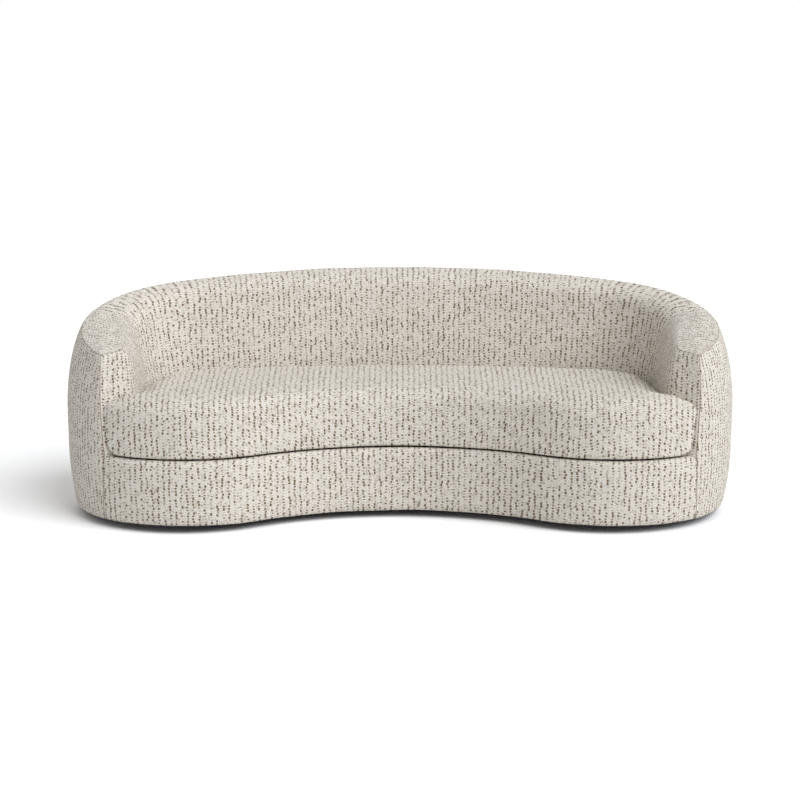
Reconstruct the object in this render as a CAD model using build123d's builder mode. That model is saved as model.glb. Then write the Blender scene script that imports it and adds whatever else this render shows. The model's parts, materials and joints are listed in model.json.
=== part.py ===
"""A kidney-shaped upholstered sofa with one loose bench cushion.

The front faces -Y, X runs along the seat, and the floor is Z = 0. Sizes are in millimetres.
"""

import math
import os
from collections import namedtuple

from build123d import *

os.makedirs("parts", exist_ok=True)

# Overall sizes
width = 2270
depth = 1038
end_r = 440  # radius of the two round ends in plan
front_hollow = 218  # how far the middle of the front lies behind its lobes
arm_height = 570  # rim height at the front of the arms
rim_slope = 0.247  # rise of the rim for each millimetre towards the back
floor_gap = 25  # from the floor up to the covers
base_top = 240  # top of the base, under the cushion
ridge_x = 970  # upright seam at the front of each arm
ridge_y = -389

# The seat hollow, measured at its reference level
arm_face_x = 862
seat_back_y = 290
corner_x = 642  # centre of the round rear corner
corner_y = -21
flare_r = 160  # rounding from the inner arm to the front ridge
flare_y = -265
flare_turn = 57  # degrees
flare_drift = 0.62  # forward drift of the rounding as the hollow widens
rake = 0.19  # outward lean of the inner faces
rake_level = 252
mouth_y = -700
hollow_heights = (-200, 620)
rim_roll = 50  # radius of the soft inner edge of the rim

# The bulge of the outside: it tucks in below its widest height and leans in above it
form_bottom = -260
form_top = 600
form_steps = 12
board_heights = (-260, -30, 200, 400, 540, 600)
widest_height = 200
tuck_r = 1250
lean_power = 3.2
lean_inward = 50  # at the rim
lean_forward = 30
lean_tighter = 10
lean_behind = 73

# Layers, from the outside in
cover_t = 3
panel_depth = 24  # cover and wadding outside the curved boards
panel_t = 4
seat_foam_t = 66  # cover and foam inside the seat hollow
rim_foam_t = 40
board_t = 18
rail_t = 25
front_rail_depth = 42
front_rail_t = 15
front_lip = 60  # width of the padded edge on top of the base
front_roll = 24  # radius of that edge
front_knee = 110
front_reach_y = -150
seam_gap = 0.4
snug = 0.3  # clearance between curved neighbours

# Base and seat frame
plate_bottom = 28
plate_depth = 36
plate_opening = 190
beam_bottom = 105
beam_top = 165
beam_t = 35
rail_top = 212
rail_end_x = 950
post_front_y = -358
post_t = 45
post_inner_x = 905
back_rib_places = (-600, -300, 0, 300, 600)
end_rib_turns = (55, 20, -15)  # degrees round each end

# Webbing and deck
strap_t = 2
strap_width = 60
strap_end_gap = 3
strap_side_gap = 8
long_strap_pitch = 130
long_strap_count = 13
cross_strap_pitch = 135
cross_strap_count = 3
tuck_height = 218  # lower edge of the inside padding
cloth_t = 1.5
deck_clear = 2
dust_inset = 8

# Feet, each with a stud in a flanged nut
foot_r = 25
foot_top_r = 22
foot_round = 3
foot_inset = 130  # how far the feet stand in from the outline
foot_turns = (-105, -25, 50)  # degrees round each end
rear_foot_x = 330
rear_foot_y = 349
stud_r = 4
stud_top = 44
nut_r = 5.5
nut_flange_r = 10
nut_flange_t = 1.5
nut_length = 12
bore_clear = 0.2

# The loose cushion: a crowned top, drawn-in edges and a zip behind
cushion_bottom = 240.4
cushion_side = 391  # top of its upright sides
cushion_corner_y = -36  # centre of its rear corners
cushion_flare_x = 1010
cushion_round = 14  # its front corners in plan
cushion_split = 248  # seam between its top and base covers
side_gap = 4
back_gap = 8
front_gap = 3
low_edge = (28, 24)  # height and depth of the drawn-in lower edge
top_edge = (44, 56)  # height and depth of the rounded top edge
top_edge_turn = 75
side_steps = 5
zip_room = 12  # extra room behind the lower half
zip_room_top = 330
core_inset = 38
core_heights = (264, 410)
crown_rise = 12
crown_reach = 170  # how far in from the sides the crown is full
crown_draws = (75, 115, 160)
zip_z = 300
zip_half_height = 8
zip_half_angle = 12
zip_t = 4
coil_half_height = 2.5
coil_t = 1.5
slider_angle = 11.2
slider_size = (14, 9, 5.5)
slider_clear = 0.4

room = 4000  # larger than the sofa, for trimming blocks

# Values worked out from the sizes above
end_x = width / 2 - end_r
end_y = end_r - depth / 2
front_y = front_hollow - depth / 2
back_y = depth / 2
plate_top = plate_bottom + board_t
frame_top = arm_height - rim_foam_t
rib_top = frame_top - board_t
frame_depth = panel_depth + panel_t
frame_grow = seat_foam_t + panel_t
deck_top = base_top - seam_gap
cushion_slant = math.degrees(math.atan(rake * rim_slope))


def flipped(point):
    return Vector(-point.X, point.Y)


# How far the outline draws in at a height, before the rim is sloped
Level = namedtuple("Level", "height inward forward tighter behind")


def level_at(height):
    if height < widest_height:
        tuck = (widest_height - height) ** 2 / (2 * tuck_r)
        return Level(height, 0, 0, tuck, tuck)
    lean = ((height - widest_height) / (arm_height - widest_height)) ** lean_power
    return Level(height, lean_inward * lean, lean_forward * lean, lean_tighter * lean, lean_behind * lean)


form_rise = (form_top - form_bottom) / form_steps
outer_levels = [level_at(form_bottom + form_rise * n) for n in range(form_steps + 1)]
board_levels = [level_at(height) for height in board_heights]
widest_level = level_at(widest_height)

Kidney = namedtuple("Kidney", "end r front front_turn back back_turn")


def kidney_turns(level, inset):
    # Where the hollow front arc and the long back arc touch the round ends
    x = end_x - level.inward
    y = end_y - level.forward
    r = end_r - level.tighter - inset
    front = front_y + level.tighter + inset
    back = back_y - level.behind - inset
    front_r = (x**2 + (y - front) ** 2 - r**2) / (2 * (r - y + front))
    back_r = (x**2 + (back - y) ** 2 - r**2) / (2 * (back - y - r))
    end = Vector(x, y)
    front_turn = end + (Vector(0, front - front_r) - end).normalized() * r
    back_turn = end + (end - Vector(0, back - back_r)).normalized() * r
    return Kidney(end, r, front, front_turn, back, back_turn)


def kidney(level, inset):
    k = kidney_turns(level, inset)
    tip = k.end + Vector(k.r, 0)
    ThreePointArc(flipped(k.front_turn), (0, k.front), k.front_turn)
    ThreePointArc(k.front_turn, tip, k.back_turn)
    ThreePointArc(k.back_turn, (0, k.back), flipped(k.back_turn))
    ThreePointArc(flipped(k.back_turn), flipped(tip), flipped(k.front_turn))


def kidney_loft(levels, inset, ruled):
    with BuildPart() as form:
        for level in levels:
            with BuildSketch(Plane.XY.offset(level.height)):
                with BuildLine():
                    kidney(level, inset)
                make_face()
        loft(ruled=ruled)
    return form.part


def outer_form(inset, top=form_top):
    # The whole bulged outside, drawn in by inset and level at the top
    return kidney_loft(outer_levels, inset, ruled=False) & storey(-room, top)


def board_form(inset, top=form_top):
    # The same outside in straight boards
    return kidney_loft(board_levels, inset, ruled=True) & storey(-room, top)


def kidney_block(inset, bottom, top):
    with BuildPart() as form:
        with BuildSketch(Plane.XY.offset(bottom)):
            with BuildLine():
                kidney(widest_level, inset)
            make_face()
        extrude(amount=top - bottom)
    return form.part


# The seat hollow is a U: a back arc, round corners, straight arms and a flared mouth
Hollow = namedtuple("Hollow", "arm back corner_y slant flare_x flare_y flare_r")


def back_radius(hollow):
    r = hollow.arm - corner_x
    behind = hollow.back - hollow.corner_y
    return (corner_x**2 + behind**2 - r**2) / (2 * (behind - r))


def outward_at(degrees):
    return Vector(1, 0).rotate(Axis.Z, degrees)


def flare_point(hollow, degrees):
    return Vector(hollow.flare_x, hollow.flare_y) - outward_at(degrees) * hollow.flare_r


def seat_line(hollow):
    # The back arc, the round rear corners and the straight arms
    corner = Vector(corner_x, hollow.corner_y)
    aside = outward_at(hollow.slant)
    r = hollow.arm - corner_x
    outward = (corner - Vector(0, hollow.back - back_radius(hollow))).normalized()
    turn = corner + outward * r
    turn_middle = corner + (outward + aside).normalized() * r
    arm_rear = corner + aside * r
    ThreePointArc(flipped(turn), (0, hollow.back), turn)
    for side in (Vector, flipped):
        ThreePointArc(side(turn), side(turn_middle), side(arm_rear))
        Line(side(arm_rear), side(flare_point(hollow, hollow.slant)))


def hollow_line(hollow):
    # The whole U, with its mouth closed far in front
    seat_line(hollow)
    flare_start = flare_point(hollow, 0)
    flare_middle = flare_point(hollow, flare_turn / 2)
    flare_end = flare_point(hollow, flare_turn)
    mouth_x = flare_end.X + (flare_end.Y - mouth_y) * math.tan(math.radians(flare_turn))
    for side in (Vector, flipped):
        ThreePointArc(side(flare_start), side(flare_middle), side(flare_end))
        Line(side(flare_end), side(Vector(mouth_x, mouth_y)))
    Line((-mouth_x, mouth_y), (mouth_x, mouth_y))


def hollow_form(grow):
    # The seat hollow, widened by grow, open to the front
    with BuildPart() as form:
        for height in hollow_heights:
            wider = grow + rake * (height - rake_level)
            hollow = Hollow(
                arm_face_x + wider,
                seat_back_y + wider,
                corner_y,
                0,
                arm_face_x + flare_r,
                flare_y - flare_drift * wider,
                flare_r - wider,
            )
            with BuildSketch(Plane.XY.offset(height)):
                with BuildLine():
                    hollow_line(hollow)
                make_face()
        loft(ruled=True)
    return form.part


def sloped(part):
    # Raises each point by its distance behind the front ridge, so the rim climbs to the back
    raised = Matrix([[1, 0, 0, 0], [0, 1, 0, 0], [0, rim_slope, 1, -rim_slope * ridge_y]])
    return part.transform_geometry(raised).fix()


def block(x_range, y_range, z_range):
    low, high = zip(x_range, y_range, z_range)
    size = Vector(*high) - Vector(*low)
    return Pos(*low) * Box(*size, align=(Align.MIN, Align.MIN, Align.MIN), mode=Mode.PRIVATE)


def storey(bottom, top):
    # Everything between two heights
    return block((-room, room), (-room, room), (bottom, top))


def finish(part, name):
    part.label = name
    export_step(part, f"parts/{name}.step")


def on_inner_rim(edge):
    middle = edge @ 0.5
    return abs(middle.X) < ridge_x + 30 and middle.Y < seat_back_y + 100


def wall_form(skin):
    # Back and arms as one upholstered wall, less a skin all over
    outside = outer_form(skin, arm_height - skin)
    inside = hollow_form(skin)
    with BuildPart() as wall:
        add(outside)
        add(inside, mode=Mode.SUBTRACT)
        rim = wall.faces().sort_by(Axis.Z)[-1]
        fillet(rim.edges().filter_by(on_inner_rim), rim_roll - skin)
    return wall.part


# Shared forms
wall_outside = wall_form(0)
wall_padding = wall_form(cover_t)
outside_full = outer_form(0, arm_height)
padding_full = outer_form(cover_t)
board_full = board_form(panel_depth)
board_outside = board_form(panel_depth, frame_top)
frame_outside = board_form(frame_depth, frame_top)
seat_hollow = hollow_form(0)
foam_hollow = hollow_form(seat_foam_t)
frame_hollow = hollow_form(frame_grow)
frame_wall = frame_outside - frame_hollow
padding = wall_padding - (board_outside - foam_hollow)
front_zone = block((-ridge_x, ridge_x), (mouth_y, -300), (0, base_top))
above_floor = storey(floor_gap, room)
above_plate = storey(plate_top, room)
above_tuck = storey(tuck_height, room)

# Covers
outside_skin = sloped(outside_full - padding_full - seat_hollow)
with BuildPart() as outside_cover:
    add(outside_skin)
    add(above_floor, mode=Mode.INTERSECT)
    add(front_zone, mode=Mode.SUBTRACT)
finish(outside_cover.part, "outside_cover")

inside_skin = sloped((wall_outside - wall_padding) & padding_full)
with BuildPart() as inside_cover:
    add(inside_skin)
    add(above_tuck, mode=Mode.INTERSECT)
finish(inside_cover.part, "inside_cover")

# Padding between the covers and the boards
outside_padding = sloped(padding - board_full)
wadding_room = storey(plate_bottom, room)
with BuildPart() as outside_wadding:
    add(outside_padding)
    add(wadding_room, mode=Mode.INTERSECT)
    add(front_zone, mode=Mode.SUBTRACT)
finish(outside_wadding.part, "outside_wadding")

inside_padding = sloped(padding & board_full)
foam_rooms = {
    "left_arm_foam": block((-room, 0), (-room, corner_y), (tuck_height, room)),
    "back_foam": block((-room, room), (corner_y, room), (tuck_height, room)),
    "right_arm_foam": block((0, room), (-room, corner_y), (tuck_height, room)),
}
for name, foam_room in foam_rooms.items():
    with BuildPart() as foam:
        add(inside_padding)
        add(foam_room, mode=Mode.INTERSECT)
    finish(foam.part, name)

# Curved boards over the frame
outer_sheet = sloped(board_outside - frame_outside - foam_hollow)
with BuildPart() as outer_board:
    add(outer_sheet)
    add(above_plate, mode=Mode.INTERSECT)
    add(front_zone, mode=Mode.SUBTRACT)
finish(outer_board.part, "outer_board")

inner_sheet = sloped((frame_hollow - foam_hollow) & frame_outside)
with BuildPart() as inner_board:
    add(inner_sheet)
    add(above_tuck, mode=Mode.INTERSECT)
finish(inner_board.part, "inner_board")

# Ribs and posts under a rail that follows the rim
top_rail = sloped(frame_wall & storey(rib_top, frame_top))
finish(top_rail, "top_rail")

rib_wall = sloped(frame_wall & storey(-room, rib_top))
rib_places = {f"back_rib_{n}": Location((x, back_y, 0)) for n, x in enumerate(back_rib_places, 1)}
for n, turn in enumerate(end_rib_turns, 1):
    reach = Vector(end_r, 0).rotate(Axis.Z, turn)
    rib_places[f"right_rib_{n}"] = Location((end_x + reach.X, end_y + reach.Y, 0), (0, 0, turn + 90))
    rib_places[f"left_rib_{n}"] = Location((-end_x - reach.X, end_y + reach.Y, 0), (0, 0, 90 - turn))
rib_sheet = Pos(0, 0, room / 2 + plate_top) * Box(board_t, 2 * end_r, room)
for name, place in rib_places.items():
    with BuildPart() as rib:
        add(place * rib_sheet)
        add(rib_wall, mode=Mode.INTERSECT)
    finish(rib.part, name)

# Each arm post is notched over the seat, where the padding passes in front of it
low_wall = sloped(frame_outside) & storey(plate_top, rail_top)
post_rooms = {
    "left_arm_post": block((-room, -post_inner_x), (post_front_y, post_front_y + post_t), (plate_top, room)),
    "right_arm_post": block((post_inner_x, room), (post_front_y, post_front_y + post_t), (plate_top, room)),
}
for name, post_room in post_rooms.items():
    with BuildPart() as post:
        add(rib_wall)
        add(low_wall)
        add(post_room, mode=Mode.INTERSECT)
    finish(post.part, name)

# Base frame
rail_face = kidney_block(front_rail_depth, plate_top, rail_top)
behind_rail = kidney_block(front_rail_depth + front_rail_t, plate_top, rail_top)
rail_room = block((-rail_end_x, rail_end_x), (mouth_y, 0), (plate_top, rail_top))
with BuildPart() as front_rail:
    add(rail_face)
    add(behind_rail, mode=Mode.SUBTRACT)
    add(rail_room, mode=Mode.INTERSECT)
finish(front_rail.part, "front_rail")

left_block = block((-rail_end_x, -post_inner_x), (mouth_y, post_front_y), (plate_top, rail_top))
right_block = block((post_inner_x, rail_end_x), (mouth_y, post_front_y), (plate_top, rail_top))
with BuildPart() as post_blocks:
    add(left_block)
    add(right_block)
    add(behind_rail, mode=Mode.INTERSECT)
finish(post_blocks.part, "post_blocks")

rib_faces = sloped(hollow_form(frame_grow - snug))
seat_rail_inside = sloped(hollow_form(frame_grow - rail_t))
seat_rail_room = block((-room, room), (post_front_y + post_t, room), (beam_top, rail_top))
with BuildPart() as seat_rail:
    add(rib_faces)
    add(seat_rail_inside, mode=Mode.SUBTRACT)
    add(seat_rail_room, mode=Mode.INTERSECT)
finish(seat_rail.part, "seat_rail")

for n, x in enumerate(back_rib_places, 1):
    beam_bar = block((x - beam_t / 2, x + beam_t / 2), (-depth, depth), (beam_bottom, beam_top))
    with BuildPart() as beam:
        add(beam_bar)
        add(behind_rail, mode=Mode.INTERSECT)
        add(rib_faces, mode=Mode.INTERSECT)
    finish(beam.part, f"seat_beam_{n}")

# Elastic webbing across the seat, and the deck over it
strap_ends = kidney_block(front_rail_depth + strap_end_gap, rail_top, tuck_height)
strap_room = strap_ends & sloped(hollow_form(frame_grow - strap_side_gap))
with BuildPart() as long_straps:
    with BuildSketch(Plane.XY.offset(rail_top)):
        with GridLocations(long_strap_pitch, 0, long_strap_count, 1):
            Rectangle(strap_width, 2 * depth)
    extrude(amount=strap_t)
    add(strap_room, mode=Mode.INTERSECT)
finish(long_straps.part, "long_straps")

with BuildPart() as cross_straps:
    with BuildSketch(Plane.XY.offset(rail_top + strap_t)):
        with GridLocations(0, cross_strap_pitch, 1, cross_strap_count):
            Rectangle(width, strap_width)
    extrude(amount=strap_t)
    add(strap_room, mode=Mode.INTERSECT)
finish(cross_straps.part, "cross_straps")

deck_room = sloped(hollow_form(-deck_clear))
deck_layers = {
    "deck_pad": kidney_block(front_lip + deck_clear, rail_top + 2 * strap_t, deck_top - cloth_t),
    "deck_cloth": kidney_block(front_lip + deck_clear, deck_top - cloth_t, deck_top),
}
for name, layer in deck_layers.items():
    with BuildPart() as deck:
        add(layer)
        add(deck_room, mode=Mode.INTERSECT)
    finish(deck.part, name)

# Front of the base: a flat face with a soft rolled top edge
lip_inside = kidney_block(front_lip, 0, room)
mouth = sloped(hollow_form(-snug)) + storey(0, tuck_height)


def front_form(skin, bottom):
    front_x = ridge_x - seam_gap
    heights = (floor_gap, front_knee, widest_height, base_top - skin)
    front_block = kidney_loft([level_at(height) for height in heights], skin, ruled=True)
    front_room = block((-front_x, front_x), (mouth_y, front_reach_y), (bottom, room))
    with BuildPart() as form:
        add(front_block)
        fillet(form.faces().sort_by(Axis.Z)[-1].edges(), front_roll - skin)
        add(lip_inside, mode=Mode.SUBTRACT)
        add(front_room, mode=Mode.INTERSECT)
        add(mouth, mode=Mode.INTERSECT)
    return form.part


front_skin = front_form(0, floor_gap)
front_padding = front_form(cover_t, floor_gap)
with BuildPart() as front_cover:
    add(front_skin)
    add(front_padding, mode=Mode.SUBTRACT)
finish(front_cover.part, "front_cover")

front_padding = front_form(cover_t, plate_bottom)
rail_space = kidney_block(front_rail_depth, 0, tuck_height)
with BuildPart() as front_foam:
    add(front_padding)
    add(rail_space, mode=Mode.SUBTRACT)
finish(front_foam.part, "front_foam")

# Feet under the bottom plate
foot_places = [(0, front_y + foot_inset), (rear_foot_x, rear_foot_y), (-rear_foot_x, rear_foot_y)]
for turn in foot_turns:
    reach = Vector(end_r - foot_inset, 0).rotate(Axis.Z, turn)
    foot_places += [(end_x + reach.X, end_y + reach.Y), (-end_x - reach.X, end_y + reach.Y)]

with BuildPart() as foot:
    with BuildSketch(Plane.XZ):
        with BuildLine():
            Line((0, 0), (foot_r - foot_round, 0))
            RadiusArc((foot_r - foot_round, 0), (foot_r, foot_round), -foot_round)
            Polyline((foot_r, foot_round), (foot_top_r, plate_bottom), (stud_r, plate_bottom))
            Polyline((stud_r, plate_bottom), (stud_r, stud_top), (0, stud_top), (0, 0))
        make_face()
    revolve(axis=Axis.Z)

with BuildPart() as feet:
    with Locations(*foot_places):
        add(foot.part)
finish(feet.part, "feet")

with BuildPart() as foot_nuts:
    with BuildSketch(Plane.XY.offset(plate_top - nut_length)):
        with Locations(*foot_places):
            Circle(nut_r)
    extrude(amount=nut_length + nut_flange_t)
    with BuildSketch(Plane.XY.offset(plate_top)):
        with Locations(*foot_places):
            Circle(nut_flange_r)
    extrude(amount=nut_flange_t)
    with BuildSketch(Plane.XY.offset(plate_top - nut_length)):
        with Locations(*foot_places):
            Circle(stud_r + bore_clear)
    extrude(amount=nut_length + nut_flange_t, mode=Mode.SUBTRACT)
finish(foot_nuts.part, "foot_nuts")

plate_form = sloped(outer_form(plate_depth))
plate_slab = storey(plate_bottom, plate_top)
plate_window = kidney_block(plate_opening, plate_bottom, plate_top)
with BuildPart() as bottom_plate:
    add(plate_form)
    add(plate_slab, mode=Mode.INTERSECT)
    add(plate_window, mode=Mode.SUBTRACT)
    with BuildSketch(Plane.XY.offset(plate_bottom)):
        with Locations(*foot_places):
            Circle(nut_r + bore_clear)
    extrude(amount=board_t, mode=Mode.SUBTRACT)
finish(bottom_plate.part, "bottom_plate")

dust_form = sloped(outer_form(dust_inset))
dust_slab = storey(floor_gap + seam_gap, floor_gap + seam_gap + cloth_t)
with BuildPart() as dust_cover:
    add(dust_form)
    add(dust_slab, mode=Mode.INTERSECT)
    with BuildSketch(Plane.XY.offset(floor_gap)):
        with Locations(*foot_places):
            Circle(foot_r)
    extrude(amount=board_t, mode=Mode.SUBTRACT)
finish(dust_cover.part, "dust_cover")


# The loose bench cushion
CushionLevel = namedtuple("CushionLevel", "height side back front")


def cushion_level(height, draw):
    behind = zip_room * max(0, zip_room_top - height) / (zip_room_top - cushion_bottom)
    return CushionLevel(height, side_gap + draw, back_gap + draw + behind, front_gap + draw)


def cushion_profile():
    # A quarter round below, upright sides, a wider round above and the crown
    levels = []
    low_height, low_depth = low_edge
    for degrees in (0, 30, 60, 90):
        turn = math.radians(degrees)
        height = cushion_bottom + low_height * (1 - math.cos(turn))
        levels.append(cushion_level(height, low_depth * (1 - math.sin(turn))))
    side_start = cushion_bottom + low_height
    for step in range(1, side_steps):
        share = step / side_steps
        levels.append(cushion_level(side_start + share * (cushion_side - side_start), 0))
    top_height, top_depth = top_edge
    for step in range(5):
        turn = math.radians(top_edge_turn * step / 4)
        height = cushion_side + top_height * math.sin(turn)
        levels.append(cushion_level(height, top_depth * (1 - math.cos(turn))))
    crown_start = top_depth * (1 - math.cos(turn))
    for draw in crown_draws:
        short = (crown_reach - draw) / (crown_reach - crown_start)
        levels.append(cushion_level(height + crown_rise * (1 - short**2), draw))
    return levels


cushion_levels = cushion_profile()
core_levels = [cushion_level(height, core_inset) for height in core_heights]


def cushion_hollow(level, skin):
    # Its sides draw together to the rear, as the raked arms do at one height
    arm_wider = rake * (level.height - rim_slope * (cushion_corner_y - ridge_y) - rake_level)
    back_wider = rake * (level.height - rim_slope * (seat_back_y - ridge_y) - rake_level)
    arm = arm_face_x + arm_wider - level.side - skin
    flare = Vector(cushion_flare_x, flare_y - flare_drift * rake * (level.height - rake_level))
    apart = (flare - Vector(corner_x, cushion_corner_y)).dot(outward_at(cushion_slant))
    return Hollow(
        arm,
        seat_back_y + back_wider - level.back - skin,
        cushion_corner_y,
        cushion_slant,
        flare.X,
        flare.Y,
        apart - (arm - corner_x),
    )


def circles_meet(a, a_r, b, b_r):
    # The front one of the two points where two circles cross
    across = b - a
    along = (across.length**2 + a_r**2 - b_r**2) / (2 * across.length)
    aside = math.sqrt(a_r**2 - along**2)
    unit = across.normalized()
    return a + unit * along + Vector(unit.Y, -unit.X) * aside


def cushion_outline(level, skin):
    # The front corners are small rounds between the lobes and the flared arms
    hollow = cushion_hollow(level, skin)
    k = kidney_turns(widest_level, level.front + skin)
    flare = Vector(hollow.flare_x, hollow.flare_y)
    corner = circles_meet(k.end, k.r - cushion_round, flare, hollow.flare_r + cushion_round)
    lobe_out = (corner - k.end).normalized()
    flare_out = (flare - corner).normalized()
    lobe_middle = k.end + ((k.front_turn - k.end).normalized() + lobe_out).normalized() * k.r
    lobe_end = corner + lobe_out * cushion_round
    corner_tip = corner + (lobe_out + flare_out).normalized() * cushion_round
    flare_end = corner + flare_out * cushion_round
    flare_middle = flare - (outward_at(hollow.slant) + flare_out).normalized() * hollow.flare_r
    seat_line(hollow)
    ThreePointArc(flipped(k.front_turn), (0, k.front), k.front_turn)
    for side in (Vector, flipped):
        ThreePointArc(side(k.front_turn), side(lobe_middle), side(lobe_end))
        ThreePointArc(side(lobe_end), side(corner_tip), side(flare_end))
        ThreePointArc(side(flare_end), side(flare_middle), side(flare_point(hollow, hollow.slant)))


def cushion_loft(levels, skin, ruled):
    low = levels[0].height
    middle = (low + levels[-1].height) / 2
    with BuildPart() as form:
        for level in levels:
            squeeze = skin * (middle - level.height) / (middle - low)
            with BuildSketch(Plane.XY.offset(level.height + squeeze)):
                with BuildLine():
                    cushion_outline(level, skin)
                make_face()
        loft(ruled=ruled)
    return form.part


# The rear zip runs round the same centre as the rear of the cushion
zip_hollow = cushion_hollow(cushion_level(zip_z, 0), 0)
zip_r = back_radius(zip_hollow)
zip_centre = (0, zip_hollow.back - zip_r, 0)
zip_axis = Axis(zip_centre, (0, 0, 1))


def zip_band(inner_r, outer_r, half_height, half_angle):
    turn = math.radians(half_angle)
    radial = Plane(
        zip_centre,
        x_dir=(math.sin(turn), math.cos(turn), 0),
        z_dir=(math.cos(turn), -math.sin(turn), 0),
    )
    with BuildPart() as band:
        with BuildSketch(radial):
            with Locations(((inner_r + outer_r) / 2, zip_z)):
                Rectangle(outer_r - inner_r, 2 * half_height)
        revolve(axis=zip_axis, revolution_arc=2 * half_angle)
    return band.part


zip_tape = zip_band(zip_r - zip_t, zip_r, zip_half_height, zip_half_angle)
finish(zip_tape, "zip_tape")
zip_way = zip_band(zip_r - zip_t, zip_r + zip_room, zip_half_height, zip_half_angle)
zip_coil = zip_band(zip_r, zip_r + coil_t, coil_half_height, zip_half_angle - 0.2)
finish(zip_coil, "zip_coil")

slider_turn = math.radians(slider_angle)
slider_plane = Plane(
    (zip_r * math.sin(slider_turn), zip_centre[1] + zip_r * math.cos(slider_turn), zip_z),
    x_dir=(math.cos(slider_turn), -math.sin(slider_turn), 0),
    z_dir=(math.sin(slider_turn), math.cos(slider_turn), 0),
)
coil_way = zip_band(
    zip_r - zip_t,
    zip_r + coil_t + slider_clear,
    coil_half_height + slider_clear,
    zip_half_angle + 1,
)
with BuildPart() as zip_slider:
    with BuildSketch(slider_plane.offset(slider_clear)):
        Trapezoid(slider_size[0], slider_size[1], 80)
        fillet(vertices(), 2)
    extrude(amount=slider_size[2])
    add(coil_way, mode=Mode.SUBTRACT)
finish(zip_slider.part, "zip_slider")

cushion_outside = cushion_loft(cushion_levels, 0, ruled=False)
cushion_inside = cushion_loft(cushion_levels, cover_t, ruled=False)
cushion_middle = cushion_loft(core_levels, 0, ruled=True)
top_room = storey(cushion_split, room)
base_room = storey(0, cushion_split)
for name, cover_room in (("cushion_top_cover", top_room), ("cushion_base_cover", base_room)):
    with BuildPart() as cover:
        add(cushion_outside)
        add(cushion_inside, mode=Mode.SUBTRACT)
        add(zip_way, mode=Mode.SUBTRACT)
        add(cover_room, mode=Mode.INTERSECT)
    finish(cover.part, name)

with BuildPart() as cushion_wrap:
    add(cushion_inside)
    add(cushion_middle, mode=Mode.SUBTRACT)
    add(zip_tape, mode=Mode.SUBTRACT)
finish(cushion_wrap.part, "cushion_wrap")
finish(cushion_middle, "cushion_core")
print("zip centre", [round(v, 2) for v in zip_centre], "radius", round(zip_r, 2))
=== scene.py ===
import json
import math
from types import SimpleNamespace

import bmesh
import bpy
from mathutils import Matrix, Vector, noise


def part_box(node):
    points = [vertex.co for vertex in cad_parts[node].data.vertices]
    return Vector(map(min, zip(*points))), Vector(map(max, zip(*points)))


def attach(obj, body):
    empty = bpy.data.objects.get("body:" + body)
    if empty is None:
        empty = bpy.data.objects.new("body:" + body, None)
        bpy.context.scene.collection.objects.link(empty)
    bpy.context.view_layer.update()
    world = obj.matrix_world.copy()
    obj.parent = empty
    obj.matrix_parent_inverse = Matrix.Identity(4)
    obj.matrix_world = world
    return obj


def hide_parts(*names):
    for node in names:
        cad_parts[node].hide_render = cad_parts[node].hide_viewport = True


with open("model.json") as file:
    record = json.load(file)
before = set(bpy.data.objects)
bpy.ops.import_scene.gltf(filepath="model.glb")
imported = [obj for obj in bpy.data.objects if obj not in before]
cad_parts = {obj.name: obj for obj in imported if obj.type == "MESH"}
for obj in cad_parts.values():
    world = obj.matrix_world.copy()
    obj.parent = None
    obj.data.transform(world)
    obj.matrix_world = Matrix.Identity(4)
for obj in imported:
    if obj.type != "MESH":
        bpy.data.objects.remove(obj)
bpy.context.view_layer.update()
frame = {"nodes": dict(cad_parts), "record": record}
print("frame loaded", len(frame["nodes"]), "nodes")

# Outline of the sofa in plan, in metres; heights are taken before the rim is sloped
sofaShape = {
    "endX": 0.695,  # centre of each round end
    "endY": -0.079,
    "endR": 0.44,
    "frontY": -0.301,
    "backY": 0.519,
    "armHeight": 0.57,
    "rimSlope": 0.247,
    "ridgeX": 0.968,  # upright seam at the front of each arm
    "ridgeLean": 0.035,
    "ridgeY": -0.389,
    "widestHeight": 0.2,
    "tuckR": 1.25,  # the wall curves in below its widest height
    "leanPower": 3.2,  # and leans in above it
    "leanIn": 0.05,
    "leanForward": 0.03,
    "leanTighter": 0.01,
    "leanBehind": 0.073,
    "floorGap": 0.025,
    "baseTop": 0.24,
}
seatShape = {
    "armFace": 0.862,
    "backFace": 0.29,
    "cornerX": 0.642,  # centre of each round rear corner
    "cornerY": -0.021,
    "flareR": 0.16,
    "flareY": -0.285,
    "flareTurn": math.radians(57),
    "flareDrift": 0.62,  # the front comes forward as the arm leans out
    "edgeR": 0.045,  # upright edge from the arm's inner face to its front
    "frontWidth": 0.09,  # from that edge to the upright seam
    "toeIn": 0.008,  # the arms stand closer, and straighter, towards the front
    "toeLean": 0.56,
    "rake": 0.19,
    "rakeLevel": 0.252,
    "roll": 0.056,  # soft inner edge of the rim
    "armRoll": 0.105,
    "armRollFrom": 0.78,  # run along the seat at which the roll starts to broaden
    "armRollOver": 0.3,
    "frontRoll": 0.026,
    "frontRollBefore": 0.04,  # it starts to tighten just before the upright edge
    "frontRollOver": 0.12,
}


def mix(a, b, share):
    return a + (b - a) * share


def eased(share):
    # 0 to 1 with a gentle start and end
    share = min(1, max(0, share))
    return share * share * (3 - 2 * share)


def turned(angle):
    return Vector((math.cos(angle), math.sin(angle)))


def solveShare(test, low, high):
    # halves the range round the place where the test changes sign
    positive = test(low) > 0
    for _ in range(32):
        middle = (low + high) / 2
        if (test(middle) > 0) == positive:
            low = middle
        else:
            high = middle
    return (low + high) / 2


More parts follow.
